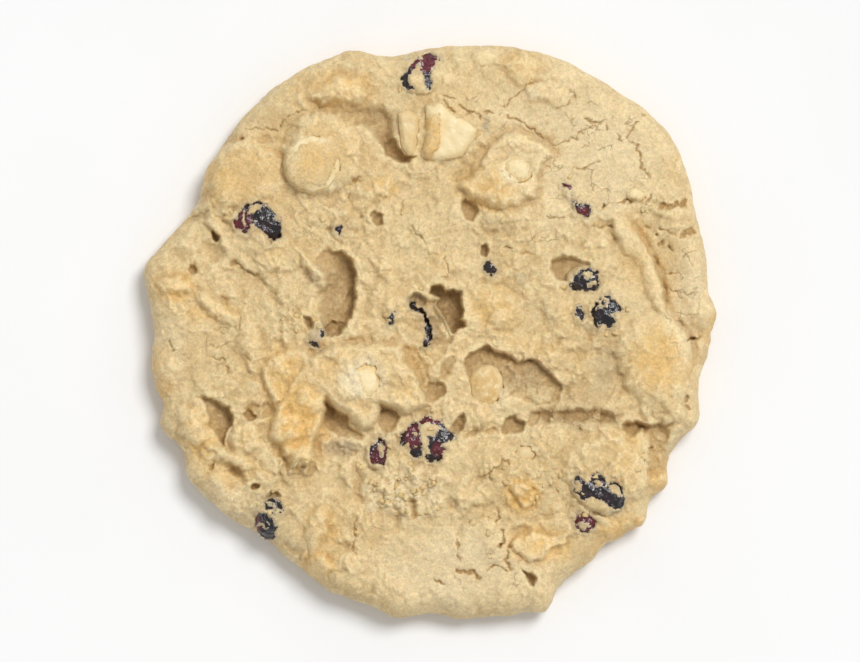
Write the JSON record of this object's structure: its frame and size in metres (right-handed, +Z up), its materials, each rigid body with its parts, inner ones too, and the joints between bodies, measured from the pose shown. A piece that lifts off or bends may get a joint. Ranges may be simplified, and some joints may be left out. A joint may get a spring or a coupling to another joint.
{
  "type": "cookie",
  "caption": "Large round soft-baked cookie with a craggy, torn top, sunk white chocolate chips and dried cranberries, resting on a flat base.",
  "frame": {"origin": "middle of the flat base, at the centre of the outline's box", "axes": "+Z up from the base, +Y towards the far side as the picture shows it from above, +X to the right"},
  "size_m": [0.1144, 0.1144, 0.0172],
  "materials": {
    "dough": "matt, crumbly crust",
    "cranberry": "sticky satin, almost black with dark red edges",
    "white_chip": "waxy satin"
  },
  "bodies": {
    "root": {"dough": "dough", "cranberry_01": "cranberry", "cranberry_02": "cranberry", "cranberry_03": "cranberry", "cranberry_04": "cranberry", "cranberry_05": "cranberry", "cranberry_06": "cranberry", "cranberry_07": "cranberry", "cranberry_08": "cranberry", "cranberry_09": "cranberry", "cranberry_10": "cranberry", "cranberry_11": "cranberry", "cranberry_12": "cranberry", "cranberry_13": "cranberry", "cranberry_14": "cranberry", "cranberry_15": "cranberry", "cranberry_16": "cranberry", "white_chip_01": "white_chip", "white_chip_02": "white_chip", "white_chip_03": "white_chip", "white_chip_04": "white_chip", "white_chip_05": "white_chip", "white_chip_06": "white_chip", "white_chip_07": "white_chip", "white_chip_08": "white_chip", "white_chip_09": "white_chip"}
  },
  "joints": []
}
